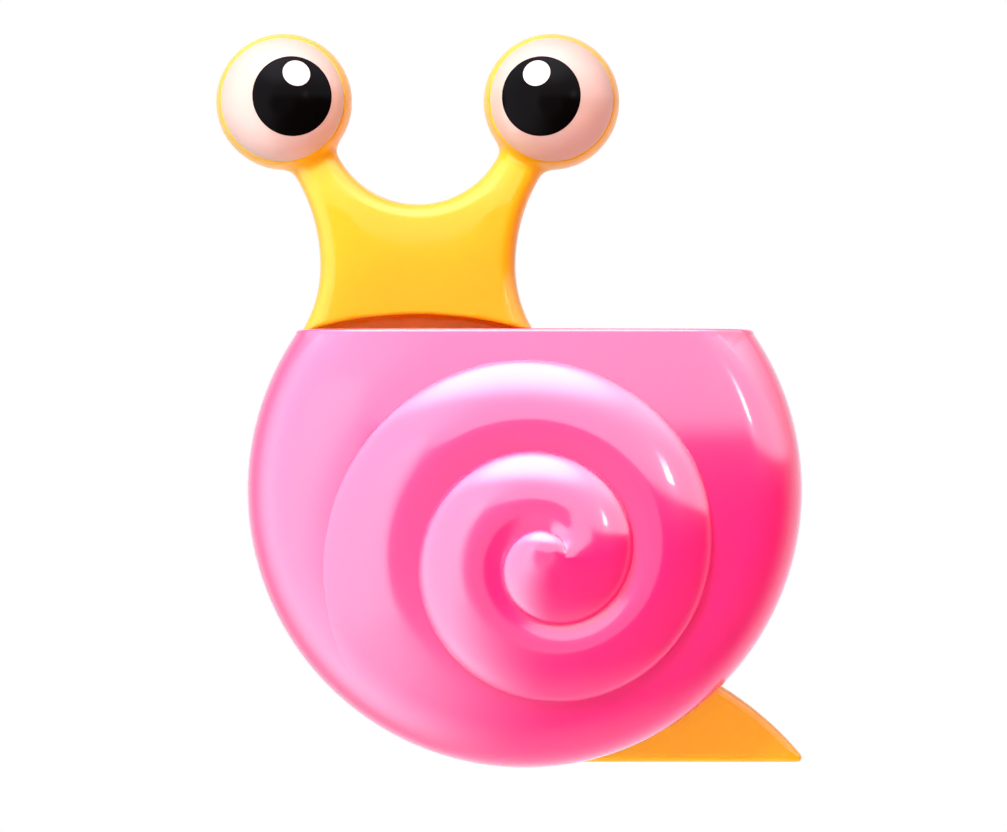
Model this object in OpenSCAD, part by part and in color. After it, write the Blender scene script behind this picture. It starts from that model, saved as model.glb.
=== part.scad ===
// Snail-shaped wall holder: an open-topped shell cup that hangs on a yellow snail body,
// which itself hangs on three suction cups. Millimetres, +Z up, wall plane at y = 0,
// front towards -Y, origin at the middle of the top suction cup's lip.

/* [Shell cup] */
// Radius of the shell's round outline
shell_r = 65.4; // [60:0.2:70]
// Distance from the head's centreline to the shell's centre
shell_x = 25.6; // [20:0.2:30]
// Height of the shell's centre, below the top suction cup
shell_z = -46.1; // [-50:0.1:-44]
// Height of the open rim above the shell's centre
rim_up = 37.9; // [34:0.1:40]
// Depth of the shell from its rear edge to the middle of its face
shell_depth = 33; // [30:0.5:38]
// How far the face is domed
face_dome = 5; // [2:0.5:8]
// Radius of the rounding between the face and the side
edge_round = 15; // [10:0.5:18]
// Wall thickness of the shell
shell_wall = 2.2; // [1.8:0.1:2.6]

/* [Spiral] */
// Height of each turn's crest above its inner edge
ridge_height = 1.4; // [0.6:0.1:2]
// How far the turns climb, from the outer one to the middle
spiral_rise = 8.6; // [6:0.2:10]
// Extra height of the cone in the very middle
tip_rise = 1.4; // [0:0.1:3]

/* [Body] */
// Radius of the round plate behind the shell
plate_r = 57; // [54:0.5:59]
// Half of the neck's width at its narrowest
neck_half = 23.3; // [22:0.1:24]
// Radius of the scoop between the eye stalks
scoop_r = 21.9; // [21:0.1:23]
// Wall thickness of both body mouldings
body_wall = 2; // [1.6:0.1:2.2]
// Radius of the rounding on the head's front edge
head_round = 4; // [2:0.5:4.5]

/* [Eyes] */
// Radius of an eyeball
eye_r = 16.4; // [15.5:0.1:17]
// Distance from the centreline to an eyeball's centre
eye_x = 32.1; // [31:0.1:33]
// Height of the eyeballs' centres
eye_z = 46.9; // [45:0.1:48]
// Radius of the black pupil
pupil_r = 9.5; // [8:0.1:10]
// Radius of the white glint
glint_r = 3.3; // [2.5:0.1:3.6]

/* [Wall fixing] */
// Radius of a suction cup's lip
cup_r = 19; // [17:0.5:20]
// Radius of a suction cup's neck
neck_r = 2.5; // [2:0.1:2.8]
// How far the body lifts to bring the cups to the keyholes' wide ends
keyhole_drop = 8; // [7:0.5:9]

/* [Hidden] */
$fn = 64;
big = 400;

// depth layout, as distances in front of the wall
rear_y = 9;                     // rear face of the body
floor_t = 2.4;                  // floor of the rear moulding
part_y = 16;                    // joint between the two body mouldings
plate_y = 18;                   // front of the plate behind the shell
foot_y = 20.5;                  // front of the foot
head_y = 24;                    // front of the head
shell_y = 24.4;                 // rear edge of the shell
eye_y = 18;                     // centre of the eyeballs
socket_y = 25;                  // front of the yellow eye sockets, where the white domes start
skirt_r = 13.1;                 // skirt of a white dome, inside its socket
head_hole_r = 5;                // wide end of a keyhole

// heights and places
rim_z = shell_z + rim_up;
shell_bottom = shell_z - shell_r;
foot_z = shell_bottom - 0.2;
foot_left = 14;
foot_arc = [32.5, foot_z - 48.6, 78];   // centre x, z and radius of the foot's upper edge
lower_cups = [[shell_x - 24, -60], [shell_x + 24, -60]];
screw_places = [[0, 15.6], [shell_x - 47, shell_z - 4], [shell_x + 47, shell_z - 4],
    [shell_x, shell_z - 49], [67, foot_z + 9]];

// ---------- general shapes ----------

// moves a shape drawn in the x-y plane and extruded up so that it stands in the x-z plane,
// from the distance y_from to y_to in front of the wall
module upright(y_from, y_to)
    translate([0, -y_from, 0]) rotate([90, 0, 0]) linear_extrude(y_to - y_from) children();

// a cylinder along y, from the distance y_from to y_to in front of the wall
module rod(place, r, y_from, y_to, r_to = 0)
    translate([place[0], -y_from, place[1]]) rotate([90, 0, 0])
        cylinder(r1 = r, r2 = r_to > 0 ? r_to : r, h = y_to - y_from);

// a slab that fills everything between two distances in front of the wall
module depth_band(y_from, y_to)
    translate([-big / 2, -y_to, -big / 2]) cube([big, y_to - y_from, big]);

function arc(centre, r, a_from, a_to, steps) =
    [for (i = [0:steps]) let (a = a_from + (a_to - a_from) * i / steps)
        [centre[0] + r * cos(a), centre[1] + r * sin(a)]];

// a solid through rings of equal length; each ring is [outline points, distance from the wall]
module loft(rings) {
    n = len(rings[0][0]);
    points = [for (ring = rings) for (p = ring[0]) [p[0], -ring[1], p[1]]];
    last = len(rings) - 1;
    polyhedron(points, concat(
        [[for (j = [0:n - 1]) j]],
        [[for (j = [n - 1:-1:0]) last * n + j]],
        [for (k = [0:last - 1]) for (j = [0:n - 1])
            [k * n + (j + 1) % n, k * n + j, (k + 1) * n + j]],
        [for (k = [0:last - 1]) for (j = [0:n - 1])
            [k * n + (j + 1) % n, (k + 1) * n + j, (k + 1) * n + (j + 1) % n]]));
}

// how far an outline draws in at a share of the way round a rounding of radius r
function draw_in(r, share) = r * (1 - cos(90 * share));
function step_out(r, share) = r * sin(90 * share);

// ---------- head outline ----------

neck_z = 7.5;                   // where the neck is narrowest
side_up_r = 42;                 // radius of the neck's side above that
side_down_r = 30;               // and below it
scoop_z = 22.2;                 // lowest point of the scoop
mouth_up = 3.9;                 // how far the head's lower edge arches above the rim
stalk_top = eye_z - 8;          // where the stalks end inside the eyeballs

// half width of the neck at height z, drawn in by inset
function neck_width(z, inset = 0) =
    let (r = (z > neck_z ? side_up_r : side_down_r) + inset)
    neck_half + (z > neck_z ? side_up_r : side_down_r)
        - sqrt(r * r - (z - neck_z) * (z - neck_z));

function side_points(inset, z_low) = [for (i = [0:9])
    let (z = z_low + (stalk_top - 8 - z_low) * i / 9) [neck_width(z, inset), z]];

function mirrored(points) = [for (i = [len(points) - 1:-1:0]) [-points[i][0], points[i][1]]];

// the head's right half from its lower corner up to the middle of the scoop
function head_half(inset, z_low) = concat(
    side_points(inset, z_low),
    [[eye_x + 4 - inset, stalk_top - inset], [eye_x - 6 - inset, stalk_top + 2 - inset]],
    arc([0, scoop_z + scoop_r], scoop_r + inset, -24, -90, 10));

// the head's lower edge, a shallow arch from left to right
function mouth(inset) =
    let (half = neck_width(rim_z) - 1, rise = mouth_up, r = (half * half + rise * rise) / (2 * rise))
    [for (i = [1:7]) let (x = half * (i / 4 - 1))
        [x, rim_z + rise - r + sqrt(r * r - x * x) + inset]];

function without_last(points) = [for (i = [0:len(points) - 2]) points[i]];

function head_outline(inset) = concat(
    without_last(head_half(inset, rim_z + inset)), mirrored(head_half(inset, rim_z + inset)),
    mouth(inset));

// the whole outline of the flat body: neck, plate and foot
module body_outline(inset = 0) {
    polygon(concat(without_last(head_half(inset, -14.5)), mirrored(head_half(inset, -14.5))));
    intersection() {
        translate([shell_x, shell_z]) circle(plate_r - inset, $fn = 96);
        translate([-100, -200]) square([250, 200 + rim_z - 3 - inset]);
    }
    foot_outline(inset);
}

module foot_outline(inset = 0)
    intersection() {
        translate([foot_arc[0], foot_arc[1]]) circle(foot_arc[2] - inset, $fn = 96);
        translate([foot_left + inset, foot_z + inset])
            square([92.4 - foot_left - 2.4 * inset, 60]);
    }

// ---------- body mouldings ----------

module at_eyes() for (side = [-1, 1]) translate([side * eye_x, -eye_y, eye_z]) children();

module head_bulge(inset, y_from, y_to, r)
    loft(concat([[head_outline(inset), y_from]],
        [for (k = [0:4]) [head_outline(inset + draw_in(r, k / 4)), y_to - r + step_out(r, k / 4)]]));

// the ledge that the shell hooks over: its top slopes back towards the plate
rail_half = 30;
rail_z = -24;
rail_out = 4.2;
lug = 3.5;                      // the blocks at its two ends keep the hook from sliding sideways
module along_x(x_from, x_to)
    translate([x_from, 0, 0]) rotate([90, 0, 90]) linear_extrude(x_to - x_from) children();

module hanging_rail() {
    along_x(shell_x - rail_half, shell_x + rail_half)
        polygon([[-plate_y + 0.5, rail_z - rail_out - 0.5], [-plate_y + 0.5, rail_z - 2.5 * rail_out],
            [-plate_y, rail_z - 2.5 * rail_out], [-plate_y - rail_out, rail_z - 1.6 * rail_out],
            [-plate_y - rail_out, rail_z], [-plate_y, rail_z - rail_out]]);
    for (x = [shell_x - rail_half, shell_x + rail_half - lug]) along_x(x, x + lug)
        polygon([[-plate_y + 0.5, rail_z - 2 * rail_out], [-plate_y - rail_out, rail_z - 1.5 * rail_out],
            [-plate_y - rail_out, rail_z + 3], [-plate_y + 0.5, rail_z + 5]]);
}

screw_r = 1.15;
boss_r = 3;
// resize() changes nothing here: it keeps the moulding's rounded head one faceted solid
module body_front($fn = 32) color("gold") resize([0, 0, 0]) {
    difference() {
        union() {
            upright(part_y, plate_y) body_outline();
            head_bulge(0.05, part_y + 0.6, head_y, head_round);
            upright(part_y + 0.4, foot_y) foot_outline(0.05);
            intersection() {
                at_eyes() sphere(eye_r);
                depth_band(part_y, socket_y);
            }
        }
        head_bulge(body_wall, part_y - 1, head_y - body_wall, head_round - 1.5);
        at_eyes() sphere(eye_r - body_wall);
        for (side = [-1, 1]) rod([side * eye_x, eye_z], skirt_r + 0.1, eye_y, socket_y + 1);
    }
    for (place = screw_places) difference() {
        rod(place, boss_r, rear_y + floor_t + 0.1, boss_end(place));
        rod(place, screw_r + 0.05, rear_y, rear_y + 9);
    }
    hanging_rail();
}
function boss_end(place) = place[1] > rim_z ? head_y - body_wall + 0.6 : part_y + 0.6;

// a keyhole: the neck hangs in the narrow end, the cup's head goes in at the wide end
module keyhole(place) {
    rod([place[0], place[1] - keyhole_drop], head_hole_r, rear_y - 1, rear_y + floor_t + 1);
    rod(place, neck_r + 0.2, rear_y - 1, rear_y + floor_t + 1);
    translate([place[0] - neck_r - 0.2, -rear_y - floor_t - 1, place[1] - keyhole_drop])
        cube([2 * neck_r + 0.4, floor_t + 2, keyhole_drop]);
}

module body_rear() color("gold") difference() {
    union() {
        upright(rear_y, part_y) body_outline();
        intersection() {
            at_eyes() sphere(eye_r);
            depth_band(0, part_y);
        }
    }
    upright(rear_y + floor_t, part_y + 1) body_outline(body_wall);
    at_eyes() sphere(eye_r - body_wall);
    keyhole([0, 0]);
    for (place = lower_cups) keyhole(place);
    for (place = screw_places) {
        rod(place, 1.5, rear_y - 1, rear_y + floor_t + 1);
        rod(place, 2.9, rear_y - 1, rear_y + 1);
    }
}

module body_screws() color("silver") for (place = screw_places) difference() {
    union() {
        rod(place, 2.6, rear_y - 0.5, rear_y + 0.95);
        rod(place, screw_r, rear_y + 0.9, part_y - 0.3);
    }
    for (turn = [0, 90]) translate([place[0], -rear_y, place[1]]) rotate([0, turn, 0])
        cube([3, 1, 0.6], center = true);
}

// ---------- eyes ----------

look_in = 3.1;                  // how far the pupils look towards each other
look_up = 0.5;                  // and upwards
glint_in = 3.7;
glint_up = 5.8;
inlay = 0.9;                    // depth of the pupil's seat in the dome
glint_inlay = 0.45;

// an axis from the eyeball's centre out through the point (in, up) of its front
module looking(side, inwards, upwards)
    translate([side * eye_x, -eye_y, eye_z])
        rotate([0, 0, -side * asin(inwards / eye_r)]) rotate([90 - asin(upwards / eye_r), 0, 0])
            children();

module plug(side, inwards, upwards, r, r_low, r_high) intersection() {
    difference() {
        translate([side * eye_x, -eye_y, eye_z]) sphere(r_high);
        translate([side * eye_x, -eye_y, eye_z]) sphere(r_low);
    }
    looking(side, inwards, upwards) cylinder(r = r, h = 2 * eye_r);
}

module eye_dome(side) color("white") difference() {
    union() {
        intersection() {
            translate([side * eye_x, -eye_y, eye_z]) sphere(eye_r + 0.15);
            depth_band(socket_y + 0.02, socket_y + 20);
        }
        rod([side * eye_x, eye_z], skirt_r, socket_y - 4, socket_y + 0.5);
    }
    intersection() {
        translate([side * eye_x, -eye_y, eye_z]) sphere(eye_r - 2.2);
        depth_band(socket_y + 0.5, socket_y + 20);
    }
    rod([side * eye_x, eye_z], skirt_r - 1.7, socket_y - 5, socket_y + 0.6);
    looking(side, look_in, look_up) difference() {
        cylinder(r = pupil_r + 0.04, h = 2 * eye_r);
        sphere(eye_r - inlay);
    }
}

module pupil(side) color("black") difference() {
    plug(side, look_in, look_up, pupil_r, eye_r - inlay + 0.02, eye_r + 0.19);
    looking(side, glint_in, glint_up) difference() {
        cylinder(r = glint_r + 0.03, h = 2 * eye_r);
        sphere(eye_r - glint_inlay);
    }
}

module eye_glint(side) color("white")
    plug(side, glint_in, glint_up, glint_r, eye_r - glint_inlay + 0.02, eye_r + 0.22);

// ---------- suction cups ----------

// half section: radius and distance from the wall
cup_profile = concat(
    [[0, 4.4], [5, 4.2], [10, 3], [14.5, 1.2], [cup_r - 1.8, 0], [cup_r, 0], [cup_r, 0.7]],
    [for (k = [1:8]) let (r = cup_r - (cup_r - 4.2) * k / 8)
        [r, 0.7 + 7.4 * pow(1 - pow(max(0, r - 4.2) / (cup_r - 4.2), 1.5), 0.9)]],
    [[neck_r, 8.5], [neck_r, 11.7], [4.5, 11.7], [4.5, 12.5], [3.2, 14], [1.2, 14.6], [0, 14.6]]);

module suction_cup(place) color([0.85, 0.9, 0.95, 0.6]) {
    translate([place[0], 0, place[1]]) rotate([90, 0, 0]) rotate_extrude($fn = 96) polygon(cup_profile);
    translate([place[0] + cup_r - 1, -1.4, place[1] - 3]) cube([6, 1.1, 6]);
}

// ---------- shell ----------

spiral_x = 5.2;                 // the spiral's centre, from the shell's centre
spiral_z = -14.9;
spiral_scale = 0.975;
clamp_r = shell_r - 3.6;        // circle on the rounding where the face's own mesh ends
wall_from = 12;                 // the step starts to form at this angle along the spiral
wall_full = 90;
fade_from = 850;                // it fades out between these two
fade_to = 950;
climb_end = 700;                // outside this angle the spiral's edge lies level with the face
hub_r = 2.4;                    // the mesh's plain middle
first_a = 8;                    // the strip of mesh starts here
step_a = 7.2;
turn_n = 360 / step_a;
last_i = turn_n + ceil((945 - first_a) / step_a);
samples = [0, 0.18, 0.38, 0.58, 0.76, 0.89, 0.97, 1];
rows = len(samples);

// radius of the spiral step about the spiral's centre, after an angle along it
function spiral_r(a) = let (t = a / 360) spiral_scale
    * (2.82 + 15.8 * t + 1.48 * t * t + (1.17 - 1.18 * t) * cos(a) + (0.51 * t - 0.68) * sin(a));

// distance from the spiral's centre, in direction a, to a circle round the shell's centre
function circle_r(a, r) = let (b = spiral_x * cos(a) + spiral_z * sin(a))
    -b + sqrt(b * b + r * r - spiral_x * spiral_x - spiral_z * spiral_z);

function edge_r(a) = a <= first_a ? hub_r : min(spiral_r(a), circle_r(a, clamp_r));
function ease(x) = let (c = min(1, max(0, x))) c * c * (3 - 2 * c);
function faded(a) = ease((a - fade_from) / (fade_to - fade_from));
function ridge(a) = ridge_height * (1 - faded(a));
// share of the ridge's height that the spiral's edge still has, before the step has formed
function still_high(a) = 1 - ease((a - wall_from) / (wall_full - wall_from));
function foot_level(a) = spiral_rise * max(0, 1 - max(0, a) / climb_end);

// cross-section of one turn, from its inner edge to its outer one: a slight rise to the crest,
// then a fall that steepens to a wall at the outer edge
crest = 0.38;
function quarter(u) = sqrt(max(0, 1 - pow(u, 2.2)));
function section(s) = s < crest ? pow(sin(90 * s / crest), 1.3) : quarter((s - crest) / (1 - crest));
function fall(a, s) = quarter(s) + (1 - ease(s) - quarter(s)) * faded(a);

// depth of the plain face at a distance r from the shell's centre: a shallow dome that turns
// into the side through an arc that meets it smoothly
face_r = shell_r - edge_round;
dome_r = (face_r * face_r + face_dome * face_dome) / (2 * face_dome);
side_depth = shell_depth - dome_r + sqrt(pow(dome_r - edge_round, 2) - face_r * face_r);
turn_r = dome_r * face_r / (dome_r - edge_round);
function base_depth(r) = r <= turn_r ? shell_depth - dome_r + sqrt(dome_r * dome_r - r * r)
    : side_depth + sqrt(max(0, edge_round * edge_round - (r - face_r) * (r - face_r)));

function cross_rise(a, s) = let (low = still_high(s < crest ? a - 360 : a))
    low + (1 - low) * section(s);
function relief(a, s) = foot_level(a) + (foot_level(a - 360) - foot_level(a)) * fall(a, s)
    + ridge(a) * cross_rise(a, s);

// a point of the face: [x, depth, z] from the shell's centre and rear edge
function face_point(a, s) =
    let (r_in = edge_r(a - 360), r = r_in + (edge_r(a) - r_in) * s,
        x = spiral_x + r * cos(a), z = spiral_z + r * sin(a))
    [x, base_depth(norm([x, z])) + relief(a, s) + tip_rise * pow(max(0, 1 - r / 10), 1.3), z];

// the face is one strip of mesh wound round a hub: each turn shares its inner edge
// with the outer edge of the turn before
function middle_depth() = shell_depth + spiral_rise + ridge_height + tip_rise
    - face_dome * (spiral_x * spiral_x + spiral_z * spiral_z) / (face_r * face_r);
face_points = concat([[spiral_x, middle_depth(), spiral_z]],
    [for (i = [0:turn_n - 1]) face_point(first_a + i * step_a, 0)],
    [for (i = [1:last_i - 1]) for (j = [1:rows - 1]) face_point(first_a + i * step_a, samples[j])]);
function at(i, j) = i >= last_i ? at(last_i - turn_n, rows - 1)
    : j > 0 ? (i < 1 ? 1 : 1 + turn_n + (i - 1) * (rows - 1) + j - 1)
    : i < turn_n ? 1 + i : at(i - turn_n, rows - 1);
function same(f) = f[0] == f[1] || f[1] == f[2] || f[2] == f[0];
hub_faces = [for (k = [0:turn_n - 1]) [1 + k, 0, 1 + (k + 1) % turn_n]];
strip_faces = [for (i = [0:last_i - 1]) for (j = [0:rows - 2])
    for (f = [[at(i, j), at(i + 1, j), at(i, j + 1)], [at(i, j + 1), at(i + 1, j), at(i + 1, j + 1)]])
        if (!same(f)) f];

// rings round the side, on the same bearings as the strip's last turn
rim_steps = [for (k = [1:4]) let (low = asin((clamp_r - face_r) / edge_round), q = low + (90 - low) * k / 4)
    [face_r + edge_round * sin(q), side_depth + edge_round * cos(q)]];
side_steps = concat(rim_steps, [[shell_r, 0]]);
edge_loop = [for (i = [last_i - turn_n:last_i - 1]) at(i, rows - 1)];
edge_bearings = [for (k = edge_loop) atan2(face_points[k][2], face_points[k][0])];
side_points_3d = [for (s = side_steps) for (b = edge_bearings) [s[0] * cos(b), s[1], s[0] * sin(b)]];
first_side = len(face_points);
function ring_at(k, i) = k == 0 ? edge_loop[i % turn_n] : first_side + (k - 1) * turn_n + i % turn_n;
side_faces = [for (k = [0:len(side_steps) - 1]) for (i = [0:turn_n - 1])
    for (f = [[ring_at(k, i), ring_at(k, i + 1), ring_at(k + 1, i)],
            [ring_at(k + 1, i), ring_at(k, i + 1), ring_at(k + 1, i + 1)]]) f];

module spiral_block()
    polyhedron([for (p = concat(face_points, side_points_3d)) [p[0], -p[1], p[2]]],
        concat(hub_faces, strip_faces, side_faces, [[for (i = [0:turn_n - 1]) ring_at(len(side_steps), i)]]));

// the inside of the shell: a plain rounded dish, deeper behind the spiral's middle
module shell_hollow() rotate([90, 0, 0]) {
    rotate_extrude() polygon(concat([[0, -1], [0, shell_depth - shell_wall]],
        [for (k = [1:4]) [face_r * k / 4, base_depth(face_r * k / 4) - shell_wall]],
        [for (q = [15:15:90]) [face_r + (edge_round - shell_wall) * sin(q),
            side_depth + (edge_round - shell_wall) * cos(q)]],
        [[shell_r - shell_wall, -1]]));
    translate([spiral_x, spiral_z, -1]) cylinder(r1 = 34, r2 = 7, h = shell_depth + 2.2);
}

module at_shell() translate([shell_x, -shell_y, shell_z]) children();

// resize() changes nothing here: it keeps the shell one faceted solid
module shell_front($fn = 72) color("hotpink") resize([0, 0, 0]) difference() {
    at_shell() spiral_block();
    at_shell() shell_hollow();
    translate([-100, -200, rim_z]) cube([300, 200, 100]);
    for (x = [-10, 0, 10]) translate([shell_x + x, -shell_y - 14, shell_z - shell_r - 2])
        cylinder(r = 2, h = 8, $fn = 16);
}

hook_half = 26;
back_z = rim_z - 0.5;           // top of the back panel
module shell_back() color("hotpink") {
    intersection() {
        at_shell() rotate([90, 0, 0]) cylinder(r = shell_r - shell_wall - 0.1, h = shell_wall, $fn = 128);
        translate([-100, -200, back_z - 200]) cube([300, 300, 200]);
    }
    // the hook that sits behind the body's rail
    along_x(shell_x - hook_half, shell_x + hook_half)
        polygon([[-shell_y - 0.5, rail_z + shell_y + 0.5 - plate_y - rail_out + 0.2],
            [-plate_y - 0.25, rail_z - rail_out + 0.45], [-plate_y - 0.25, rail_z + 1],
            [-shell_y - 0.5, rail_z + 7]]);
    // two feet that keep the shell parallel to the plate
    for (x = [-25, 25]) rod([shell_x + x, shell_z - 30], 4, plate_y + 0.1, shell_y + 0.5, 5);
}

module suction_cup_top() suction_cup([0, 0]);
module suction_cup_lower_left() suction_cup(lower_cups[0]);
module suction_cup_lower_right() suction_cup(lower_cups[1]);
module left_eye_dome() eye_dome(-1);
module right_eye_dome() eye_dome(1);
module left_pupil() pupil(-1);
module right_pupil() pupil(1);
module left_eye_glint() eye_glint(-1);
module right_eye_glint() eye_glint(1);

suction_cup_top();
suction_cup_lower_left();
suction_cup_lower_right();
body_front();
body_rear();
body_screws();
left_eye_dome();
right_eye_dome();
left_pupil();
right_pupil();
left_eye_glint();
right_eye_glint();
shell_front();
shell_back();
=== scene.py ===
"""Snail-shaped wall holder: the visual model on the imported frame.

Lengths are in mm in this script's own helpers and in metres in Blender. A point is (x, depth, z): x to the
right, depth in front of the wall, z up."""
import math

import bpy
import bmesh
import numpy as np
from mathutils import Matrix, Vector


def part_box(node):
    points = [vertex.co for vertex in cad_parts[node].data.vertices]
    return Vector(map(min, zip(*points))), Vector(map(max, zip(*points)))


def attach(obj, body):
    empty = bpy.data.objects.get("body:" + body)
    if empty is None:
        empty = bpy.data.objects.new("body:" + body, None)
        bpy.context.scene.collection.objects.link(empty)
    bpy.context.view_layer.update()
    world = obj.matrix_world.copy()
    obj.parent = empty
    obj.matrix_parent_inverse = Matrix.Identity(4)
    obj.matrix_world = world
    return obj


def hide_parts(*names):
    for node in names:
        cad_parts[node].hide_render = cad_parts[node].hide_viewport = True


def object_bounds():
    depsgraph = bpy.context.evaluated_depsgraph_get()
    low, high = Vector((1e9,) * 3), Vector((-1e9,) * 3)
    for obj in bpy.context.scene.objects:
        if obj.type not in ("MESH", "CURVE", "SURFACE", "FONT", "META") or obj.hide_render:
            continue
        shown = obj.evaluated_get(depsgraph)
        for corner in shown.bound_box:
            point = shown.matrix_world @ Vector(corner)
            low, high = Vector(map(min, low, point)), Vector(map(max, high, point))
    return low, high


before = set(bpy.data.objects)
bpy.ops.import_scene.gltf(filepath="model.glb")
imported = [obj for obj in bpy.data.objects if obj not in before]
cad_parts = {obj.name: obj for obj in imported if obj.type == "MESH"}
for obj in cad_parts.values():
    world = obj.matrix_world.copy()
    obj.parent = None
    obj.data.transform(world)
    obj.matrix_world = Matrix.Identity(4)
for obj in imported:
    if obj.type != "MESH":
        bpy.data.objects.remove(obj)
cad_lo, cad_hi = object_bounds()
MM = 0.001


def mm(node):
    """A CAD node's box as two arrays in mm: x, depth in front of the wall, z."""
    lo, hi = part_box(node)
    return np.array([lo.x, -hi.y, lo.z]) / MM, np.array([hi.x, -lo.y, hi.z]) / MM


# ---------------------------------------------------------------- meshes

def piece(name, points, faces, body, material, nodes=()):
    """points are (x, depth, z) in mm, faces are index lists wound anticlockwise from outside."""
    p = np.asarray(points, float)
    mesh = bpy.data.meshes.new(name)
    mesh.from_pydata(p * (MM, -MM, MM), [], [list(map(int, face)) for face in faces])
    mesh.validate()
    mesh.polygons.foreach_set("use_smooth", [True] * len(mesh.polygons))
    mesh.materials.append(material)
    mesh.update()
    obj = bpy.data.objects.new(name, mesh)
    bpy.context.scene.collection.objects.link(obj)
    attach(obj, body)
    if nodes:
        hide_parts(*nodes)
    return obj


def outward(obj):
    """Turns all the faces' normals outwards."""
    b = bmesh.new()
    b.from_mesh(obj.data)
    bmesh.ops.recalc_face_normals(b, faces=b.faces)
    b.to_mesh(obj.data)
    b.free()
    return obj


def smin(a, b, k):
    """The union of two distance fields, blended over the width k."""
    h = np.clip(0.5 + 0.5 * (b - a) / k, 0, 1)
    return b * (1 - h) + a * h - k * h * (1 - h)


def smax(a, b, k):
    """Their intersection, blended the same way."""
    return -smin(-a, -b, k)


def surface_nets(f, lo, hi, h):
    """Quads on the surface f = 0 of a solid that is negative inside, then moved onto it with Newton steps."""
    lo, hi = np.array(lo, float), np.array(hi, float)
    n = np.ceil((hi - lo) / h).astype(int) + 1
    ax = [lo[i] + h * np.arange(n[i]) for i in range(3)]
    g = np.meshgrid(*ax, indexing="ij")
    v = f(*g)
    shape = tuple(n - 1)
    total, count = np.zeros(shape + (3,)), np.zeros(shape)
    cell = np.indices(shape)
    for axis in range(3):
        others = [i for i in range(3) if i != axis]
        a = v[tuple(slice(0, -1) if i == axis else slice(None) for i in range(3))]
        b = v[tuple(slice(1, None) if i == axis else slice(None) for i in range(3))]
        hit = (a < 0) != (b < 0)
        t = np.where(hit, a / np.where(hit, a - b, 1), 0)
        for o1 in (0, 1):
            for o2 in (0, 1):
                off = {others[0]: o1, others[1]: o2}
                s = tuple(slice(None) if i == axis else slice(off[i], shape[i] + off[i]) for i in range(3))
                w = hit[s].astype(float)
                count += w
                for i in range(3):
                    total[..., i] += w * (cell[i] + (t[s] if i == axis else off[i]))
    used = count > 0
    index = np.full(shape, -1)
    index[used] = np.arange(used.sum())
    p = total[used] / count[used][:, None] * h + lo
    quads = []
    for axis in range(3):
        a = v[tuple(slice(0, -1) if i == axis else slice(1, -1) for i in range(3))]
        b = v[tuple(slice(1, None) if i == axis else slice(1, -1) for i in range(3))]
        for flip in (False, True):
            hit = np.argwhere((a >= 0) & (b < 0) if flip else (a < 0) & (b >= 0))
            if not len(hit):
                continue
            others = [(axis + 1) % 3, (axis + 2) % 3]
            for i in others:
                hit[:, i] += 1
            ring = []
            for d1, d2 in ((-1, -1), (0, -1), (0, 0), (-1, 0)):
                c = hit.copy()
                c[:, others[0]] += d1
                c[:, others[1]] += d2
                ring.append(index[c[:, 0], c[:, 1], c[:, 2]])
            q = np.column_stack(ring)
            quads.append(q[:, ::-1] if flip else q)
    quads = np.concatenate(quads)[:, ::-1]
    nudge, furthest = 0.02, 0.3 * h
    for _ in range(3):
        grad = np.column_stack([(f(*(p + nudge * u).T) - f(*(p - nudge * u).T)) / (2 * nudge)
                                for u in np.eye(3)])
        size = np.maximum((grad ** 2).sum(1), 0.2)
        p = p - np.clip(f(*p.T) / size, -furthest, furthest)[:, None] * grad
    return p, quads


def revolve(profile, point, turn):
    """A profile of (radius, height) pairs from the axis round to the axis again, turned about the axis.
    point(radius, height, angle) says where a point of it lies."""
    pts, faces, before = [point(0, profile[0][1], 0)], [], None
    for r, h in profile[1:-1]:
        ring = list(range(len(pts), len(pts) + turn))
        pts += [point(r, h, 2 * math.pi * k / turn) for k in range(turn)]
        for k in range(turn):
            j = (k + 1) % turn
            faces.append([before[k], ring[k], ring[j], before[j]] if before else [0, ring[k], ring[j]])
        before = ring
    pts.append(point(0, profile[-1][1], 0))
    faces += [[before[k], len(pts) - 1, before[(k + 1) % turn]] for k in range(turn)]
    return pts, faces


# ---------------------------------------------------------------- materials

def noise(tree, where, scale, detail):
    node = tree.nodes.new("ShaderNodeTexNoise")
    node.inputs["Scale"].default_value, node.inputs["Detail"].default_value = scale, detail
    tree.links.new(where.outputs["Object"], node.inputs["Vector"])
    return node.outputs["Fac"]


def vary_roughness(tree, shader, pattern, low, high):
    span = tree.nodes.new("ShaderNodeMapRange")
    span.inputs["To Min"].default_value, span.inputs["To Max"].default_value = low, high
    tree.links.new(pattern, span.inputs["Value"])
    tree.links.new(span.outputs["Result"], shader.inputs["Roughness"])


def bump_with(tree, shader, pattern, strength, height):
    lift = tree.nodes.new("ShaderNodeBump")
    lift.inputs["Strength"].default_value, lift.inputs["Distance"].default_value = strength, height
    tree.links.new(pattern, lift.inputs["Height"])
    tree.links.new(lift.outputs["Normal"], shader.inputs["Normal"])


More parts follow.
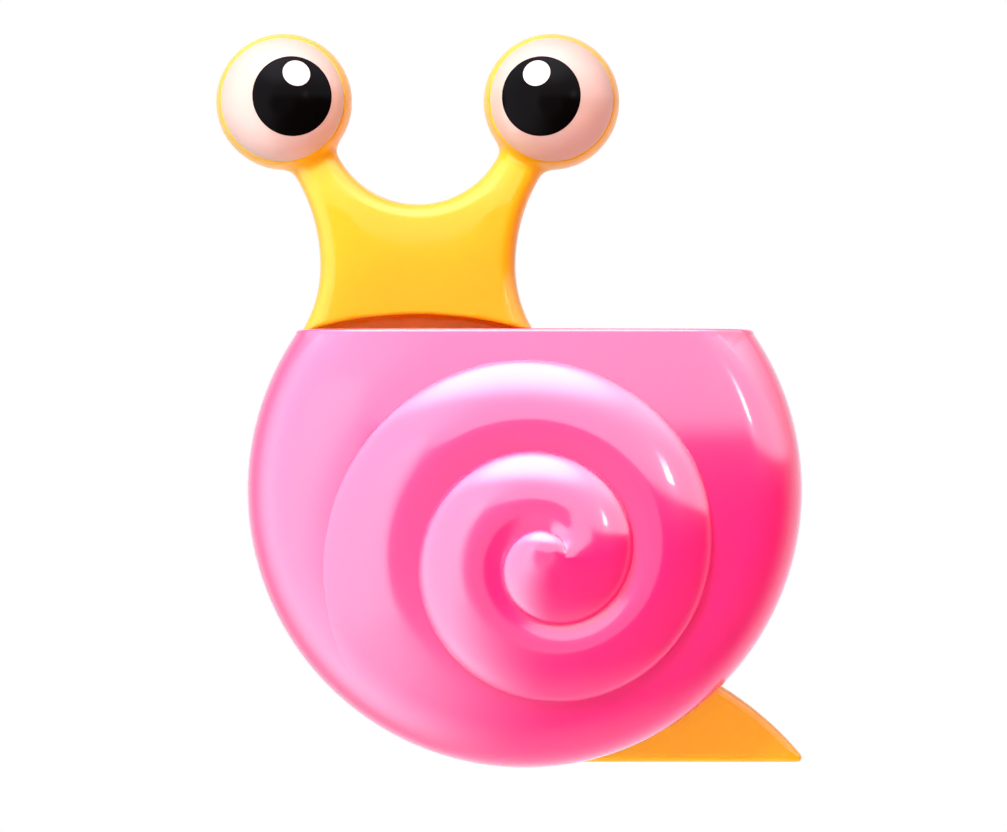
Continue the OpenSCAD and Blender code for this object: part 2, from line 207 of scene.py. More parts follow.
def plastic(name, colour, roughness, bump=0.02, scale=900.0, sss=0.0, sss_radius=(1, 1, 1), sss_scale=0.002,
            coat=0.0, coat_roughness=0.03, vary=0.02, ior=1.49, specular=0.5, transmission=0.0):
    """Moulded plastic: faintly clouded dye, patches of slightly duller gloss, the mould's own waviness."""
    m = bpy.data.materials.new(name)
    m.use_nodes = True
    t = m.node_tree
    b = t.nodes["Principled BSDF"]
    for socket, value in (("Roughness", roughness), ("IOR", ior), ("Specular IOR Level", specular),
                          ("Subsurface Weight", sss), ("Subsurface Radius", sss_radius),
                          ("Subsurface Scale", sss_scale), ("Coat Weight", coat),
                          ("Coat Roughness", coat_roughness), ("Transmission Weight", transmission)):
        b.inputs[socket].default_value = value
    where = t.nodes.new("ShaderNodeTexCoord")
    ramp = t.nodes.new("ShaderNodeValToRGB")
    for point, at, share in zip(ramp.color_ramp.elements, (0.3, 0.7), (1 - vary, 1 + vary)):
        point.position = at
        point.color = (*np.clip(np.array(colour) * share, 0, 1), 1)
    t.links.new(noise(t, where, 35, 3), ramp.inputs["Fac"])
    t.links.new(ramp.outputs["Color"], b.inputs["Base Color"])
    duller = 0.03
    vary_roughness(t, b, noise(t, where, 60, 4), roughness - duller, roughness + duller)
    bump_with(t, b, noise(t, where, scale, 2), bump, 0.0002)
    return m


def zinc(name):
    """Bright zinc plating with a fine grain."""
    m = bpy.data.materials.new(name)
    m.use_nodes = True
    t = m.node_tree
    b = t.nodes["Principled BSDF"]
    b.inputs["Metallic"].default_value = 1
    b.inputs["Base Color"].default_value = (0.55, 0.56, 0.58, 1)
    grain = noise(t, t.nodes.new("ShaderNodeTexCoord"), 900, 2)
    vary_roughness(t, b, grain, 0.25, 0.45)
    bump_with(t, b, grain, 0.15, 0.0001)
    return m


pink = plastic("shell_pink", (0.86, 0.022, 0.225), 0.25, scale=200, sss=0.3, sss_radius=(1.0, 0.2, 0.4),
               sss_scale=0.004, coat=1.0, coat_roughness=0.06)
yellow = plastic("body_yellow", (0.95, 0.54, 0.012), 0.3, scale=200, sss=0.25, sss_radius=(1.0, 0.5, 0.12),
                 sss_scale=0.003, coat=0.3, coat_roughness=0.08, specular=0.15)
eye_white = plastic("eye_white", (0.75, 0.54, 0.47), 0.3, sss=0.4, sss_radius=(1, 0.45, 0.3), sss_scale=0.005,
                    coat=0.15, specular=0.3)
pupil_black = plastic("pupil_black", (0.002, 0.0015, 0.0015), 0.2, specular=0.02)
glint_white = plastic("glint_white", (0.94, 0.84, 0.81), 0.25, specular=0.3)
steel = zinc("screw_zinc")
vinyl = plastic("clear_vinyl", (0.93, 0.96, 0.98), 0.12, bump=0.05, scale=400, vary=0.01, ior=1.5,
                transmission=0.85)

# ---------------------------------------------------------------- shell

lo, hi = mm("shell_front")
R = (hi[0] - lo[0]) / 2 - 0.02          # the shell's outer radius, a little inside the CAD solid's
SX, SY, SZ = (lo[0] + hi[0]) / 2, lo[1], lo[2] + (hi[0] - lo[0]) / 2    # middle of its rear edge
RIM = hi[2]                             # height of the open rim
DEPTH, WALL = 33.0, 2.2                 # depth of the plain shell, thickness of its wall
DOME, ROUND = 5.0, 15.0                 # height of the face's dome, radius of the rounding round it
CX, CZ = 5.2, -14.9                     # the spiral's centre, from the shell's
RISE, RIDGE, TIP = 8.6, 1.4, 1.38       # the spiral's whole climb, each turn's crest, the cone in the middle
CREST = 0.38                            # where a turn's crest lies, as a share of the turn's width
CLAMP = R - 3.2                         # the spiral's mesh ends on this circle, on the rounding
FIRST = -70.0                           # the spiral's mesh starts at this angle, in degrees
STEP_START, STEP_SPAN = 12, 78          # degrees along the spiral in which its step forms
FADE_START, FADE_SPAN = 850, 100        # degrees in which the step fades out again
CLIMB_END = 700                         # the climb ends at this angle
LAST = 945                              # the spiral's mesh ends at this angle
LIP = 1.0                               # height of the rounded lip on the rim
EDGE_BREAK = 0.12                       # bevel on the wall's rear edge


def ease(x):
    c = np.clip(x, 0, 1)
    return c * c * (3 - 2 * c)


def spiral_r(deg):
    """Radius of the spiral's edge about the spiral's centre, fitted to the photo."""
    t, a = deg / 360, np.radians(deg)
    wobble = (1.17 - 1.18 * t) * np.cos(a) + (0.51 * t - 0.68) * np.sin(a)
    return 0.975 * (2.82 + 15.8 * t + 1.48 * t * t + wobble)


def circle_r(deg, r):
    """Distance from the spiral's centre to a circle of radius r round the shell's centre."""
    a = np.radians(deg)
    b = CX * np.cos(a) + CZ * np.sin(a)
    return -b + np.sqrt(b * b + r * r - CX * CX - CZ * CZ)


def edge_r(deg):
    spiral = np.minimum(spiral_r(np.maximum(deg, FIRST)), circle_r(deg, CLAMP))
    return np.where(deg <= FIRST, spiral_r(FIRST), spiral)


FACE_R = R - ROUND
DOME_R = (FACE_R ** 2 + DOME ** 2) / (2 * DOME)
SIDE = DEPTH - DOME_R + math.sqrt((DOME_R - ROUND) ** 2 - FACE_R ** 2)     # depth of the plain side


def base(r, wall=0.0):
    """Depth of the plain face at r from the shell's centre: a shallow dome that turns into the side
    through an arc. With a wall's thickness it is the face's inside."""
    big, small = DOME_R - wall, ROUND - wall
    dome = DEPTH - DOME_R + np.sqrt(np.maximum(big * big - r * r, 0))
    arc = SIDE + np.sqrt(np.maximum(small * small - (r - FACE_R) ** 2, 0))
    return np.where(r < big * FACE_R / (DOME_R - ROUND), dome, arc)


def quarter(u):
    return np.sqrt(np.maximum(0, 1 - np.clip(u, 0, 1) ** 2.2))


def section(s):
    """The ridge across a turn, s from its inner edge to its outer one."""
    up = np.sin(np.pi / 2 * np.clip(s / CREST, 0, 1)) ** 1.3
    return np.where(s < CREST, up, quarter((s - CREST) / (1 - CREST)))


def faded(deg):
    """How far the step has faded out at the spiral's outer end."""
    return ease((deg - FADE_START) / FADE_SPAN)


def still_high(deg):
    """How much of the ridge's height the spiral's edge still has before the step has formed."""
    return 1 - ease((deg - STEP_START) / STEP_SPAN)


def foot_level(deg):
    """How far the spiral's edge stands above the plain face."""
    return RISE * np.clip(1 - np.maximum(deg, 0) / CLIMB_END, 0, 1)


def relief(deg, s):
    """How far the spiral stands above the plain face."""
    low = still_high(np.where(s < CREST, deg - 360, deg))
    fall = quarter(s) + (1 - ease(s) - quarter(s)) * faded(deg)
    return (foot_level(deg) + (foot_level(deg - 360) - foot_level(deg)) * fall
            + RIDGE * (1 - faded(deg)) * (low + (1 - low) * section(s)))


def face_point(deg, s):
    """A point of the face, at an angle along the spiral and a share s of the turn's width."""
    r0 = edge_r(deg - 360)
    r = r0 + (edge_r(deg) - r0) * s
    a = np.radians(deg)
    x, z = CX + r * np.cos(a), CZ + r * np.sin(a)
    soft = np.sqrt(r * r + 2.2) - math.sqrt(2.2)
    cone = TIP * np.maximum(0, 1 - soft / 10) ** 1.3
    return np.stack([SX + x, SY + base(np.hypot(x, z)) + relief(deg, s) + cone, SZ + z], -1)


def bridge(one, two):
    """Quads between two closed loops of points."""
    n = len(one)
    return [[one[k], two[k], two[(k + 1) % n], one[(k + 1) % n]] for k in range(n)]


def shell_outer():
    """The outside: a strip of mesh wound along the spiral, each turn sharing its inner edge with the outer
    edge of the turn before, and rings round the side."""
    step = 2.0
    turn = int(360 / step)
    last = turn + math.ceil((LAST - FIRST) / step)
    n = 34
    # close rows at both edges keep the foot and the top of the step crisp
    s = np.concatenate([[0, 0.012, 0.035], 1 - (1 - np.linspace(0, 1, n + 1)[3:]) ** 1.8])
    deg = FIRST + step * np.arange(last + 1)
    grid = face_point(deg[:, None], s[None, :])
    ids = np.zeros((last + 1, n + 1), int)
    pts = [np.array([SX + CX, 0, SZ + CZ])]
    for i in range(last + 1):
        for j in range(n + 1):
            if i == last:
                ids[i, j] = ids[last - turn, n]
            elif j == 0 and i > turn:
                ids[i, j] = ids[i - turn, n]
            elif (j == 0 and i == turn) or (i == 0 and j > 0):
                ids[i, j] = ids[0, 0]
            else:
                ids[i, j] = len(pts)
                pts.append(grid[i, j])
    pts[0][1] = max(p[1] for p in pts[1:40])
    faces = [[0, ids[i, 0], ids[(i + 1) % turn, 0]] for i in range(turn)]
    for i in range(last):
        for j in range(n):
            quad = [ids[i, j], ids[i, j + 1], ids[i + 1, j + 1], ids[i + 1, j]]
            face = [corner for k, corner in enumerate(quad) if corner != quad[k - 1]]
            if len(set(face)) >= 3:
                faces.append(face)
    loop = [ids[i, n] for i in range(last - turn, last)]
    # from the clamp circle over the rest of the rounding and along the side
    bearings = [math.atan2(pts[k][2] - SZ, pts[k][0] - SX) for k in loop]
    start = math.asin((CLAMP - FACE_R) / ROUND)
    rings = [(FACE_R + ROUND * math.sin(q), SIDE + ROUND * math.cos(q))
             for q in np.linspace(start, math.pi / 2, 9)[1:]]
    rings += [(R, SIDE * k) for k in (0.75, 0.5, 0.25, 0.03)] + [(R - EDGE_BREAK, 0.0)]
    for r, d in rings:
        new = list(range(len(pts), len(pts) + turn))
        pts += [np.array([SX + r * math.cos(b), SY + d, SZ + r * math.sin(b)]) for b in bearings]
        faces += bridge(loop, new)
        loop = new
    return np.array(pts), faces


def behind_spiral(x, z):
    """How much deeper the inside is behind the spiral's middle."""
    return 2.6 * math.exp(-((x - CX) ** 2 + (z - CZ) ** 2) / 15 ** 2)


def shell_inner():
    """The inside, wound the other way, and the flat rear edge of the wall."""
    turn = 180
    ri = R - WALL
    rings = [(R - EDGE_BREAK, 0.0), (ri + EDGE_BREAK, 0.0), (ri, 0.15)]
    rings += [(ri, SIDE * k) for k in (0.25, 0.5, 0.75, 1)]
    rings += [(FACE_R + (ROUND - WALL) * math.cos(q), SIDE + (ROUND - WALL) * math.sin(q))
              for q in np.linspace(0, math.pi / 2, 9)[1:-1]]
    dome_edge = (DOME_R - WALL) * FACE_R / (DOME_R - ROUND)
    rings += [(r, float(base(np.array(r), WALL))) for r in np.linspace(dome_edge, 0, 22)[:-1]]
    pts, faces, loop = [], [], None
    for r, d in rings:
        new = list(range(len(pts), len(pts) + turn))
        for k in range(turn):
            b = 2 * math.pi * k / turn
            x, z = r * math.cos(b), r * math.sin(b)
            pts.append([SX + x, SY + d + (behind_spiral(x, z) if r < FACE_R else 0), SZ + z])
        if loop:
            faces += bridge(loop, new)
        loop = new
    pts.append([SX, SY + float(base(np.array(0.0), WALL)) + behind_spiral(0, 0), SZ])
    faces += [[loop[k], len(pts) - 1, loop[(k + 1) % turn]] for k in range(turn)]
    return np.array(pts), faces


def cut_at(points, faces, z):
    """Keeps what is below the height z, and returns it with the cut's edge, which is sorted by
    bearing round the shell's axis."""
    b = bmesh.new()
    vs = [b.verts.new(p) for p in points]
    for f in faces:
        try:
            b.faces.new([vs[k] for k in f])
        except ValueError:      # the face is there already
            pass
    bmesh.ops.bisect_plane(b, geom=b.verts[:] + b.edges[:] + b.faces[:], dist=1e-5, plane_co=(0, 0, z),
                           plane_no=(0, 0, 1), clear_outer=True)
    b.verts.ensure_lookup_table()
    b.verts.index_update()
    p = np.array([v.co[:] for v in b.verts])
    f = [[v.index for v in face.verts] for face in b.faces]
    b.free()
    edge = p[np.abs(p[:, 2] - z) < 1e-4]
    bearing = np.arctan2(edge[:, 1] - SY, edge[:, 0] - SX)
    order = np.argsort(bearing)
    return p, f, edge[order], bearing[order]


def build_shell():
    """The shell, cut level below its rim and closed there by a rounded lip."""
    cut_z = RIM - LIP
    outer, outer_faces, outer_edge, outer_b = cut_at(*shell_outer(), cut_z)
    inner, inner_faces, inner_edge, inner_b = cut_at(*shell_inner(), cut_z)
    inside = np.hypot(inner_edge[:, 0] - SX, inner_edge[:, 2] - SZ) < R - WALL + 0.05
    inner_edge, inner_b = inner_edge[inside], inner_b[inside]
    bearings = np.unique(np.round(np.concatenate([outer_b, np.linspace(0.0, math.pi, 200)]), 5))
    bearings = bearings[(bearings >= 0) & (bearings <= math.pi)]
    edges = [np.column_stack([np.interp(bearings, b, edge[:, k]) for k in range(3)])
             for b, edge in ((outer_b, outer_edge), (inner_b, inner_edge))]
    steps, power = 12, 2.4
    rows = []
    for across in 0.5 - 0.5 * np.cos(np.linspace(0, math.pi, steps + 1)):
        row = edges[0] * (1 - across) + edges[1] * across
        row[:, 2] = cut_z + LIP * (1 - abs(2 * across - 1) ** power) ** (1 / power)
        rows.append(row)
    n = len(bearings)
    lip_faces = [[k, k + n, k + n + 1, k + 1] for j in range(steps) for k in range(j * n, j * n + n - 1)]
    for i in (0, n - 1):
        end = [j * n + i for j in range(steps + 1)]
        lip_faces.append(end if i else end[::-1])
    points, faces = np.concatenate([outer, inner, *rows]), list(outer_faces)
    for part, start in ((inner_faces, len(outer)), (lip_faces, len(outer) + len(inner))):
        faces += [[k + start for k in face] for face in part]
    obj = piece("shell_bowl", points, faces, "cup", pink, ["shell_front"])
    b = bmesh.new()
    b.from_mesh(obj.data)
    bmesh.ops.remove_doubles(b, verts=b.verts[:], dist=2e-6)
    b.to_mesh(obj.data)
    b.free()
    return obj


def drill(obj, places, radius):
    """Cuts upright round holes, at (x, depth), through the lowest part of the shell's wall."""
    b = bmesh.new()
    for x, depth in places:
        at = Matrix.Translation(Vector((x, -depth, lo[2] + 3)) * MM)
        bmesh.ops.create_cone(b, cap_ends=True, segments=48, radius1=radius * MM, radius2=radius * MM,
                              depth=10 * MM, matrix=at)
    tool = bpy.data.objects.new("drill", bpy.data.meshes.new("drill"))
    b.to_mesh(tool.data)
    b.free()
    bpy.context.scene.collection.objects.link(tool)
    cut = obj.modifiers.new("drill", "BOOLEAN")
    cut.operation, cut.object, cut.solver = "DIFFERENCE", tool, "EXACT"
    bpy.context.view_layer.update()
    done = bpy.data.meshes.new_from_object(obj.evaluated_get(bpy.context.evaluated_depsgraph_get()))
    obj.modifiers.clear()
    obj.data = done
    bpy.data.objects.remove(tool)
    b = bmesh.new()
    b.from_mesh(done)
    sharp = 0.7
    for edge in b.edges:
        if len(edge.link_faces) == 2 and edge.calc_face_angle() > sharp:
            edge.smooth = False
    b.to_mesh(done)
    b.free()


drill(build_shell(), [(SX + dx, SY + 14) for dx in (-10, 0, 10)], 2)

# ---------------------------------------------------------------- body

REAR, PART, PLATE = 9.0, 16.0, 18.0     # depths: the body's rear, its mouldings' joint, the plate's front
HEAD, FOOT = 22.4, 20.45                # the head's front at its edge, the foot's front
NECK, NECK_Z = 23.3, 7.5                # half of the neck's width where it is narrowest, and that height
SCOOP_R, SCOOP_Z = 21.9, 22.2           # the scoop between the stalks and its lowest point
MOUTH_RISE, MOUTH_HALF = 3.9, 26.8      # the arch under the head
EYE_R, EYE_D = 16.3, 18.0               # the eyeballs' radius and their centres' depth
dome_lo, dome_hi = mm("right_eye_dome")
EYE_X, EYE_Z = (dome_lo[0] + dome_hi[0]) / 2, (dome_lo[2] + dome_hi[2]) / 2
body_lo, body_hi = mm("body_front")
FOOT_Z = body_lo[2] + 0.13              # the foot's lower edge
HOLE_R, DROP = 5.0, 8.0                 # a keyhole's wide end, and how far below the narrow end it is


def cup_place(node):
    """The axis of a suction cup, which has a tab on its right."""
    low, high = mm(node)
    return low[0] + CUP_R, (low[2] + high[2]) / 2


CUP_R = 19.0
CUP_NODES = ("suction_cup_top", "suction_cup_lower_left", "suction_cup_lower_right")
CUPS = [cup_place(node) for node in CUP_NODES]
SCREWS = [(0, 15.6), (SX - 47, SZ - 4), (SX + 47, SZ - 4), (SX, SZ - 49), (67, FOOT_Z + 9)]


def hyp(*a):
    return np.sqrt(sum(v * v for v in a))


def head_2d(x, z):
    """The head and its stalks in the front view, as a distance field."""
    ax, up_r, down_r = np.abs(x), 42, 30
    up = up_r - hyp(ax - NECK - up_r, z - NECK_Z)
    down = down_r - hyp(ax - NECK - down_r, z - NECK_Z)
    side = np.where(z > NECK_Z, up, down)
    scoop = SCOOP_R - hyp(x, z - SCOOP_Z - SCOOP_R)
    return np.maximum(np.maximum(smax(side, scoop, 0.8), z - (EYE_Z - 7)), ax - 42)


def mouth_2d(x, z):
    r = (MOUTH_HALF ** 2 + MOUTH_RISE ** 2) / (2 * MOUTH_RISE)
    return r - hyp(x, z - (RIM + MOUTH_RISE - r))


def foot_2d(x, z):
    top = hyp(x - 32.3, z - (FOOT_Z - 48.6)) - 78
    return np.maximum(smax(top, FOOT_Z - z, 2.4), 14 - x)


def plate_2d(x, z):
    disc = np.maximum(hyp(x - SX, z - SZ) - 57, z - (RIM - 3))
    neck = np.maximum(head_2d(x, z), -14.5 - z)
    return np.minimum(np.minimum(disc, neck), foot_2d(x, z))


def slab(d2, depth, front, r):
    """A prism of the outline d2 up to the depth front, its front edge rounded by r."""
    a, b = d2 + r, depth - (front - r)
    return hyp(np.maximum(a, 0), np.maximum(b, 0)) + np.minimum(np.maximum(a, b), 0) - r


def eye_dist(x, d, z):
    return hyp(np.abs(x) - EYE_X, d - EYE_D, z - EYE_Z)


def body_solid(x, d, z):
    h2 = head_2d(x, z)
    # the head is a cushion: highest in the middle, lower along its edges and up the stalks
    front = HEAD + 1.3 * (1 - np.exp(np.minimum(h2, 0) / 4.5)) - 1.2 * ease((z - 20) / 14)
    head = smax(slab(h2, d, front, 3.6), mouth_2d(x, z), 0.7) * 0.85
    plate = slab(plate_2d(x, z), d, PLATE, 0.6)
    foot = slab(foot_2d(x, z), d, FOOT, 1.8)
    solid = smin(smin(plate, head, 0.6), foot, 0.5)
    ball = smax(eye_dist(x, d, z) - EYE_R, d - 24.95, 0.6)
    return smin(solid, ball, 2.2)


def front_solid(x, d, z):
    """The front moulding, with a socket for each eye's white dome."""
    across = hyp(np.abs(x) - EYE_X, z - EYE_Z)
    s = smax(body_solid(x, d, z), -np.maximum(across - 13.2, 19 - d), 0.5)
    return smax(s, PART + GAP - d, 0.35)


def rear_solid(x, d, z):
    """The rear moulding: hollow from the front, with keyholes and screw recesses in its floor."""
    outline = plate_2d(x, z)
    s = smin(slab(outline, -d, -REAR, 1.2), eye_dist(x, d, z) - EYE_R, 2.2)
    s = smax(s, d - PART + GAP, 0.35)
    s = np.maximum(s, -np.maximum(outline + 2, REAR + 2.4 - d))
    for px, pz in CUPS:
        ends = np.minimum(hyp(x - px, z - pz) - SLOT, hyp(x - px, z - pz + DROP) - HOLE_R)
        slot = np.maximum(np.abs(x - px) - SLOT, np.maximum(z - pz, pz - DROP - z))
        s = smax(s, -np.maximum(np.minimum(ends, slot), d - 12.5), 0.5)
    for px, pz in SCREWS:
        s = smax(s, -np.maximum(hyp(x - px, z - pz) - 2.9, d - REAR - 1), 0.3)
    return s


GAP = 0.06                              # half of the fine line between the two mouldings, over their blend
SLOT = 2.7                              # half of a keyhole's narrow end
GRID = 0.7
BOX_LO, BOX_HI = (body_lo[0] - 2, FOOT_Z - 2), (body_hi[0] + 2, EYE_Z + EYE_R + 2)
for half, solid, near, far in (("front", front_solid, PART - 1.5, 27), ("rear", rear_solid, 0.5, PART + 1.5)):
    points, quads = surface_nets(solid, (BOX_LO[0], near, BOX_LO[1]), (BOX_HI[0], far, BOX_HI[1]), GRID)
    piece("body_shell_" + half, points, quads, "body", yellow, ["body_" + half])

# the rail for the shell's hook, with a lug at each end
RAIL_Z, RAIL_HALF, LUG = -24.0, 30, 3.5
RAIL_REAR, RAIL_OUT = PLATE - 0.4, 22.2


def bar(name, profile, x0, x1, bevel, body, material):
    """A bevelled bar along x. profile is its outline as (depth, z)."""
    n = len(profile)
    pts = [(x, d, z) for x in (x0, x1) for d, z in profile]
    faces = [list(range(n)), list(range(2 * n - 1, n - 1, -1))]
    faces += [[i, n + i, n + (i + 1) % n, (i + 1) % n] for i in range(n)]
    mod = outward(piece(name, pts, faces, body, material)).modifiers.new("bevel", "BEVEL")
    mod.width, mod.segments = bevel * MM, 3


bar("hanging_rail", [(RAIL_REAR, RAIL_Z - 4.6), (RAIL_REAR, RAIL_Z - 10.5), (PLATE, RAIL_Z - 10.5),
                     (RAIL_OUT, RAIL_Z - 6.7), (RAIL_OUT, RAIL_Z), (PLATE, RAIL_Z - 4.2)],
    SX - RAIL_HALF, SX + RAIL_HALF, 0.25, "body", yellow)
for word, x in (("left", SX - RAIL_HALF), ("right", SX + RAIL_HALF - LUG)):
    bar("rail_lug_" + word, [(RAIL_REAR, RAIL_Z - 8.4), (RAIL_OUT, RAIL_Z - 6.3), (RAIL_OUT, RAIL_Z + 3),
                             (RAIL_REAR, RAIL_Z + 5)], x, x + LUG, 0.5, "body", yellow)

# ---------------------------------------------------------------- eyes


def cap(name, side, inwards, upwards, half_angle, r_out, r_in, edge, material, node, skirt=False):
    """A lens of the eyeball's own curve about an axis that leans inwards and up."""
    rings = 48
    flat = half_angle - edge / r_out
    rim = [(r_out, flat * k / rings) for k in range(rings + 1)]
    for k in range(1, 7):
        q = math.pi / 2 * k / 6
        rim.append((r_out - edge * (1 - math.cos(q)), flat + (edge / r_out) * math.sin(q)))
    rim += [(r_out - edge - (r_out - edge - r_in) * k / 3, half_angle) for k in range(1, 4)]
    profile = [(r * math.sin(a), r * math.cos(a)) for r, a in rim]
    rear = r_in * math.cos(half_angle)
    if skirt:
        profile += [(13.05, rear), (13.05, rear - 3), (12.6, rear - 3.4), (0, rear - 3.4)]
    else:
        profile.append((0, rear))
    axis = np.array([-side * inwards, 0.0, upwards]) / EYE_R
    axis[1] = math.sqrt(1 - (axis ** 2).sum())
    u = np.cross(axis, [0, 0, 1.0])
    u /= np.linalg.norm(u)
    w = np.cross(axis, u)
    centre = np.array([side * EYE_X, EYE_D, EYE_Z])
    pts, faces = revolve(profile, lambda r, h, b: centre + axis * h + (u * math.cos(b) + w * math.sin(b)) * r,
                         160)
    outward(piece(name, pts, faces, "body", material, [node]))


# the white domes' radius, and how far in front of the eyeballs' centres their edges lie
DOME_OUT, DOME_EDGE = EYE_R + 0.13, 7.06
for side, word in ((-1, "left"), (1, "right")):
    cap(word + "_eye_white", side, 0, 0, math.acos(DOME_EDGE / DOME_OUT), DOME_OUT, DOME_OUT - 1.9, 0.5,
        eye_white, word + "_eye_dome", skirt=True)
    cap(word + "_eye_pupil", side, 3.1, 0.5, math.asin(9.5 / DOME_OUT), DOME_OUT + 0.04, DOME_OUT - 0.7, 0.06,
        pupil_black, word + "_pupil")
    cap(word + "_eye_spark", side, 3.7, 5.8, math.asin(3.3 / DOME_OUT), DOME_OUT + 0.07, DOME_OUT - 0.3, 0.05,
        glint_white, word + "_eye_glint")

# ---------------------------------------------------------------- suction cups


def cup_profile():
    """Half of a cup's section, as (radius, depth): hollow, lip, outside, neck and the neck's head."""
    hollow_r, slope = 17.2, CUP_R - 4.2
    under = [(r, 4.4 * (1 - (r / hollow_r) ** 2)) for r in np.linspace(0, hollow_r, 20)]
    lip = [(17.6, 0.0), (18.6, 0.0), (18.9, 0.15), (CUP_R, 0.4), (18.9, 0.75)]
    over = [(CUP_R - slope * k / 24, 0.8 + 7.2 * (1 - (1 - k / 24) ** 1.5) ** 0.9) for k in range(1, 25)]
    neck = [(3.2, 8.25), (2.7, 8.5), (2.5, 8.8), (2.5, 11.6), (2.7, 11.72), (4.3, 11.75), (4.48, 11.95),
            (4.48, 12.4), (4.2, 12.9), (3.2, 13.9), (2.2, 14.35), (1.2, 14.55), (0, 14.6)]
    return under + lip + over + neck


def suction_cup(name, x, z):
    pts, faces = revolve(cup_profile(), lambda r, d, b: (x + r * math.cos(b), d, z + r * math.sin(b)), 128)
    outward(piece(name + "_vinyl", pts, faces, "wall_fixings", vinyl, [name]))
    bar(name + "_tab", [(0.35, z - 3), (1.35, z - 3), (1.35, z + 3), (0.35, z + 3)],
        x + 18.3, x + 23.9, 0.45, "wall_fixings", vinyl)


for node, place in zip(CUP_NODES, CUPS):
    suction_cup(node, *place)

# ---------------------------------------------------------------- what stays from the CAD model

for node, material, width in (("shell_back", pink, 0.3), ("body_screws", steel, 0.12)):
    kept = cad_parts[node]
    for holder in kept.material_slots:
        holder.material = material
    mod = kept.modifiers.new("bevel", "BEVEL")
    mod.width, mod.segments, mod.limit_method, mod.angle_limit = width * MM, 3, "ANGLE", math.radians(40)
    mod.harden_normals = False

# ---------------------------------------------------------------- stage, lights, camera

ROOM_DIM, ROOM_BRIGHT, BACKDROP = (0.25, 0.05, 0.04), (0.5, 0.5, 0.5), (0.75, 0.75, 0.75)


def world_light():
    """A white backdrop behind the object, and in front of it a room that is bright at the upper left and dim
    and warm at the lower right. Reflections see soft screens instead: a ceiling with a hard lower edge, a
    wide one on the left, a dim one straight ahead."""
    world = bpy.data.worlds.new("world")
    bpy.context.scene.world = world
    world.use_nodes = True
    t = world.node_tree
    where = t.nodes.new("ShaderNodeTexCoord")

    def along(axis, start, end):
        """0 to 1 as the direction turns towards the axis, its cosine going from start to end."""
        dot = t.nodes.new("ShaderNodeVectorMath")
        dot.operation = "DOT_PRODUCT"
        dot.inputs[1].default_value = Vector(axis).normalized()
        span = t.nodes.new("ShaderNodeMapRange")
        span.interpolation_type = "SMOOTHSTEP"
        span.inputs["From Min"].default_value, span.inputs["From Max"].default_value = start, end
        t.links.new(where.outputs["Generated"], dot.inputs[0])
        t.links.new(dot.outputs["Value"], span.inputs["Value"])
        return span.outputs["Result"]

    def blend(factor, one, two):
        mix = t.nodes.new("ShaderNodeMix")
        mix.data_type = "RGBA"
        t.links.new(factor, mix.inputs["Factor"])
        for socket, value in ((mix.inputs["A"], one), (mix.inputs["B"], two)):
            if isinstance(value, tuple):
                socket.default_value = (*value, 1)
            else:
                t.links.new(value, socket)
        return mix.outputs["Result"]

    def calc(how, one, two):
        node = t.nodes.new("ShaderNodeMath")
        node.operation = how
        for socket, value in zip(node.inputs, (one, two)):
            if isinstance(value, (int, float)):
                socket.default_value = value
            else:
                t.links.new(value, socket)
        return node.outputs["Value"]

    def glow(axis, start, end, radiance):
        return calc("MULTIPLY", along(axis, start, end), radiance)

    room = blend(along((-0.75, 0.1, 0.65), -0.45, 0.75), ROOM_DIM, ROOM_BRIGHT)
    ceiling = calc("ADD", calc("ADD", glow((0, 0, 1), 0.07, 0.14, 4.2), glow((0, 0, 1), 0.3, 0.75, 3.3)),
                   glow((-0.07, -0.53, 0.85), 0.8, 0.985, 6.8))
    ahead = along((-0.03, -1, -0.1), 0.91, 0.955)
    side = calc("ADD", calc("MULTIPLY", glow((-1, 0, 0.3), -0.3, 0.5, 5.6), calc("SUBTRACT", 1, ahead)),
                calc("MULTIPLY", ahead, 1.25))
    screens = calc("ADD", calc("MAXIMUM", ceiling, side), glow((0, 0, -1), 0.6, 1, 0.8))
    behind = along((0, 1, 0), -0.3, 0.6)
    screens = calc("ADD", calc("MULTIPLY", screens, calc("SUBTRACT", 1, behind)), behind)
    rgb = t.nodes.new("ShaderNodeCombineColor")
    for part, tint in zip(rgb.inputs, (1.0, 1.0, 1.12)):
        t.links.new(calc("MULTIPLY", screens, tint), part)
    path = t.nodes.new("ShaderNodeLightPath")
    lit = blend(along((0, 1, 0), -0.2, 0.15), room, BACKDROP)
    seen = blend(path.outputs["Is Glossy Ray"], lit, rgb.outputs["Color"])
    shown = blend(path.outputs["Is Camera Ray"], seen, (1, 1, 1))
    t.links.new(shown, t.nodes["Background"].inputs["Color"])


world_light()
mid = (cad_lo + cad_hi) / 2

# a plain sheet below the picture: the object hangs, so it doesn't touch it
FLOOR_DROP, FLOOR_X, FLOOR_Y = 0.17, 0.5, 0.42
floor_mesh = bpy.data.meshes.new("floor")
corners = [(mid.x + sx * FLOOR_X, mid.y + sy * FLOOR_Y, mid.z - FLOOR_DROP)
           for sx, sy in ((-1, -1), (1, -1), (1, 1), (-1, 1))]
floor_mesh.from_pydata(corners, [], [[0, 1, 2, 3]])
floor = bpy.data.objects.new("floor", floor_mesh)
bpy.context.scene.collection.objects.link(floor)
floor_mat = bpy.data.materials.new("floor_pale")
floor_mat.use_nodes = True
floor_shader = floor_mat.node_tree.nodes["Principled BSDF"]
floor_shader.inputs["Base Color"].default_value = (0.9, 0.9, 0.9, 1)
floor_shader.inputs["Roughness"].default_value = 0.7
floor_mesh.materials.append(floor_mat)
floor.visible_glossy = False


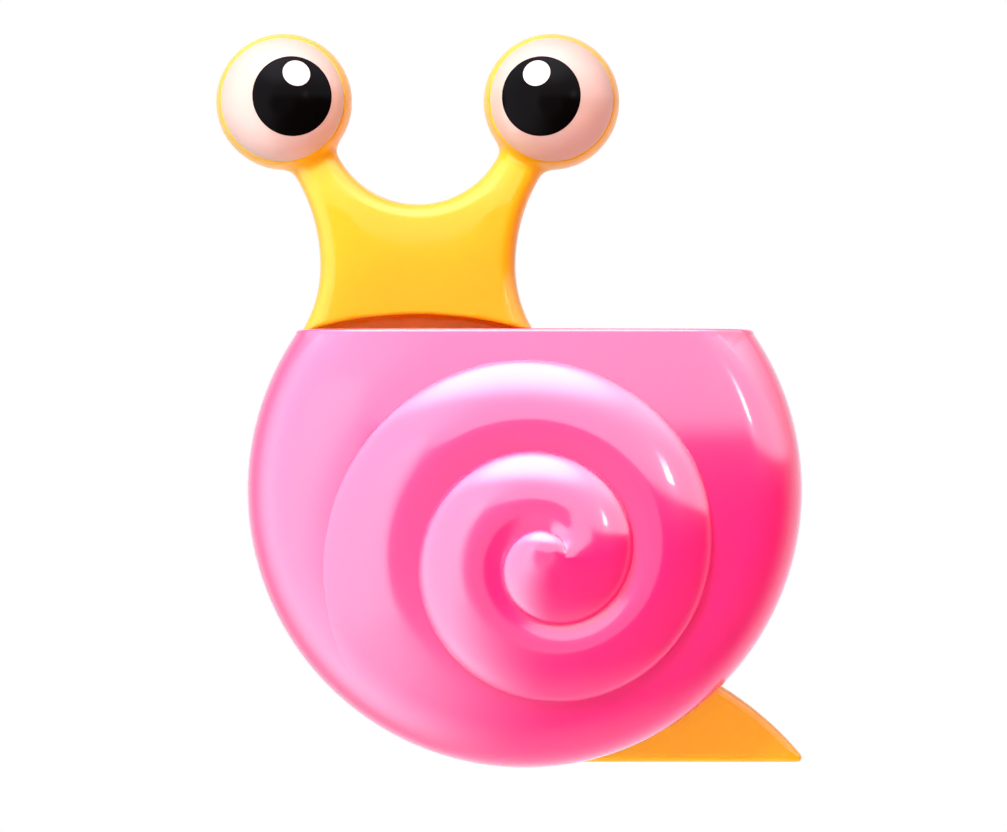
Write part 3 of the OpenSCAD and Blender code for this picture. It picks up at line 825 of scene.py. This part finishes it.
def lamp(name, place, size, power, colour=(1, 1, 1), glossy=True, diffuse=True):
    """An area light at place, in metres from the object's middle, that faces the middle."""
    light = bpy.data.lights.new(name, "AREA")
    light.shape, light.size, light.size_y = "RECTANGLE", size[0], size[1]
    light.energy, light.color = power, colour
    obj = bpy.data.objects.new(name, light)
    obj.location = mid + Vector(place)
    obj.rotation_mode = "QUATERNION"
    obj.rotation_quaternion = (-Vector(place)).to_track_quat("-Z", "Y")
    obj.visible_camera, obj.visible_glossy, obj.visible_diffuse = False, glossy, diffuse
    obj.visible_transmission = glossy
    bpy.context.scene.collection.objects.link(obj)
    return light


def softbox(name, az, el, radiance, axis, shares, distance=1.5):
    """A panel that only reflections see: az and el are its edges in degrees, right of and above the front.
    Along the panel's own axis X or Y its radiance goes from the first share to the second."""
    a, e = math.radians(sum(az) / 2), math.radians(sum(el) / 2)
    place = [distance * v for v in (math.sin(a) * math.cos(e), -math.cos(a) * math.cos(e), math.sin(e))]
    w, h = (2 * distance * math.tan(math.radians(edges[1] - edges[0]) / 2) for edges in (az, el))
    light = lamp(name, place, (w, h), radiance * math.pi * w * h, diffuse=False)
    light.use_nodes = True
    t = light.node_tree
    where = t.nodes.new("ShaderNodeNewGeometry")
    part = t.nodes.new("ShaderNodeSeparateXYZ")
    ramp = t.nodes.new("ShaderNodeValToRGB")
    ramp.color_ramp.interpolation = "EASE"
    for point, at, share in zip(ramp.color_ramp.elements, (0, 1), shares):
        point.position, point.color = at, (share, share, share, 1)
    t.links.new(where.outputs["Parametric"], part.inputs["Vector"])
    t.links.new(part.outputs[axis], ramp.inputs["Fac"])
    t.links.new(ramp.outputs["Color"], t.nodes["Emission"].inputs["Strength"])


lamp("key", (-0.17, -0.38, 0.34), (0.2, 0.2), 3.1, glossy=False)
lamp("warm_fill", (0.36, -0.22, -0.02), (0.2, 0.2), 0.5, colour=(1.0, 0.16, 0.04), glossy=False)
softbox("left_edge", (-36, -20), (-24, 12), 0.9, "X", (0, 1))
softbox("right_spot", (35, 40), (9, 19), 24, "Y", (1, 0))

# a level camera straight in front, framed as in the photo
cam_data = bpy.data.cameras.new("camera")
cam = bpy.data.objects.new("camera", cam_data)
bpy.context.scene.collection.objects.link(cam)
cam_data.sensor_width = 36
cam_data.lens = 150.6
cam_data.clip_start, cam_data.clip_end = 0.05, 20
cam.location = (mid.x - 0.0014, -1.030, mid.z - 0.0043)
cam.rotation_euler = (math.radians(90), 0, 0)
bpy.context.scene.camera = cam
bpy.context.scene.view_settings.view_transform = "Standard"
